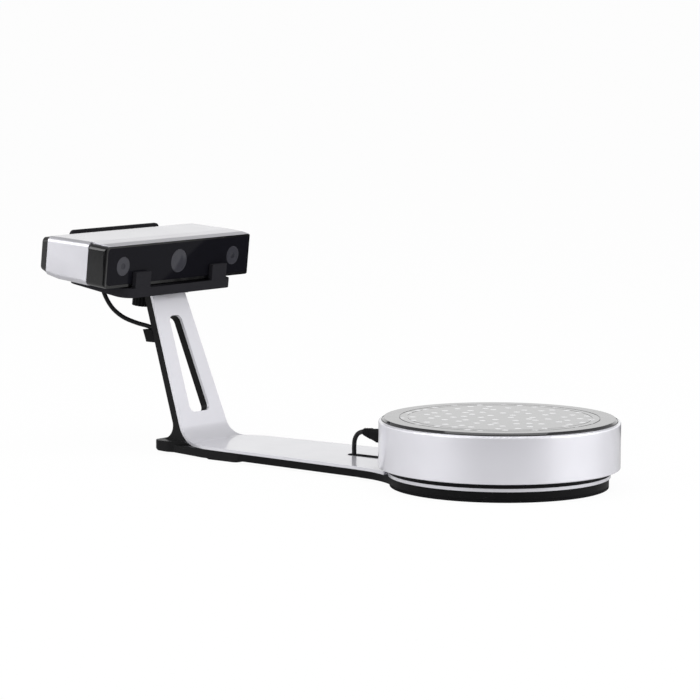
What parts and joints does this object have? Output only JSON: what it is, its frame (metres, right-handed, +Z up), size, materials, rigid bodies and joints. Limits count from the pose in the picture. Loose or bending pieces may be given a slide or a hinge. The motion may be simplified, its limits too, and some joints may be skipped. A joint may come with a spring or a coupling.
{
  "type": "desktop 3d scanner with turntable",
  "caption": "Desktop 3-D scanner: a black and silver scanning head in a cradle on a leaning slotted arm, joined by a flat strip to a round motor-driven turntable.",
  "frame": {"origin": "on the desk at the axis of the turntable's platter", "axes": "+Z up, -X towards the arm; the head looks along +X over the platter"},
  "size_m": [0.5662, 0.214, 0.2068],
  "materials": {
    "silver_sheet": "polished satin",
    "silver_paint": "satin silver lacquer",
    "black_cast": "fine matte black",
    "black_sheet": "matte charcoal powder coat",
    "black_gloss": "gloss black",
    "smoked_glass": "gloss, dark tint",
    "lens_glass": "gloss, grey tint",
    "rubber": "matte",
    "disc": "gloss with light dots",
    "steel": "plain",
    "zinc_screw": "bright zinc",
    "brass": "plain",
    "heat_alloy": "plain",
    "acetal": "moulded",
    "board": "soldermask green",
    "lead_jacket": "satin vinyl jacket",
    "light_pipe": "frosted",
    "motor_case": "black end bells"
  },
  "bodies": {
    "stand": {"face_plate": "silver_sheet", "arm_core": "black_cast", "base_core": "black_cast", "foot_ring": "rubber", "foot_strips": "rubber", "centre_pad": "rubber", "deck_screws": "zinc_screw", "foot_screws": "zinc_screw", "drum_floor": "black_cast", "drum_shell": "silver_paint", "drum_screws": "zinc_screw", "bearing_outer": "steel", "bearing_balls": "steel", "stepper_motor": "motor_case", "motor_bracket": "steel", "bracket_screws": "zinc_screw", "turntable_board": "board", "lead_socket": "black_gloss", "lead": "lead_jacket", "lead_plug": "black_cast", "slot_grommet": "rubber", "arm_clip": "black_cast", "head_gland": "rubber", "cradle": "black_sheet", "cradle_screws": "zinc_screw", "cradle_pads": "rubber", "thumb_washer": "steel", "screw_insert": "brass", "head_shell": "silver_paint", "front_cover": "black_gloss", "front_glass": "smoked_glass", "camera_windows": "lens_glass", "projector_window": "lens_glass", "camera_near": "black_cast", "camera_far": "black_cast", "projector": "black_cast", "optical_rail": "heat_alloy", "heat_sink": "heat_alloy", "main_board": "board", "board_standoffs": "steel", "fan_frame": "black_cast", "rear_cover": "black_gloss", "rear_screws": "zinc_screw", "usb_port": "steel", "power_jack": "black_gloss", "button_switch": "black_cast", "status_light": "light_pipe"},
    "platter_turning": {"platter": "black_gloss", "marker_disc": "disc", "drive_gear": "acetal", "gear_screws": "zinc_screw", "spindle": "steel", "spindle_clip": "steel", "bearing_inner": "steel"},
    "motor_rotor": {"motor_shaft": "steel", "pinion": "brass"},
    "fan_turning": {"fan_rotor": "black_cast"},
    "button_cap": {"power_button": "black_gloss"},
    "clamp_screw": {"thumb_screw": "black_cast"}
  },
  "joints": [
    {"name": "platter_spin", "type": "hinge", "parent": "stand", "child": "platter_turning", "pos_m": [0, 0, 0], "axis": [0, 0, 1], "continuous": true},
    {"name": "motor_spin", "type": "hinge", "parent": "stand", "child": "motor_rotor", "pos_m": [0.06415, 0.03269, 0], "axis": [0, 0, 1], "continuous": true},
    {"name": "fan_spin", "type": "hinge", "parent": "stand", "child": "fan_turning", "pos_m": [-0.45146, -0.036, 0.18654], "axis": [0.9945, 0, -0.1045], "continuous": true},
    {"name": "button_press", "type": "slide", "parent": "stand", "child": "button_cap", "axis": [0.9945, 0, -0.1045], "range_m": [0, 0.0015], "stiffness_N_per_m": 400},
    {"name": "thumb_screw_turn", "type": "hinge", "parent": "stand", "child": "clamp_screw", "pos_m": [-0.41765, 0, 0.14277], "axis": [0.1045, 0, 0.9945], "continuous": true}
  ],
  "couplings": [
    {"joint": "motor_spin", "follows": "platter_spin", "ratio": -5}
  ]
}
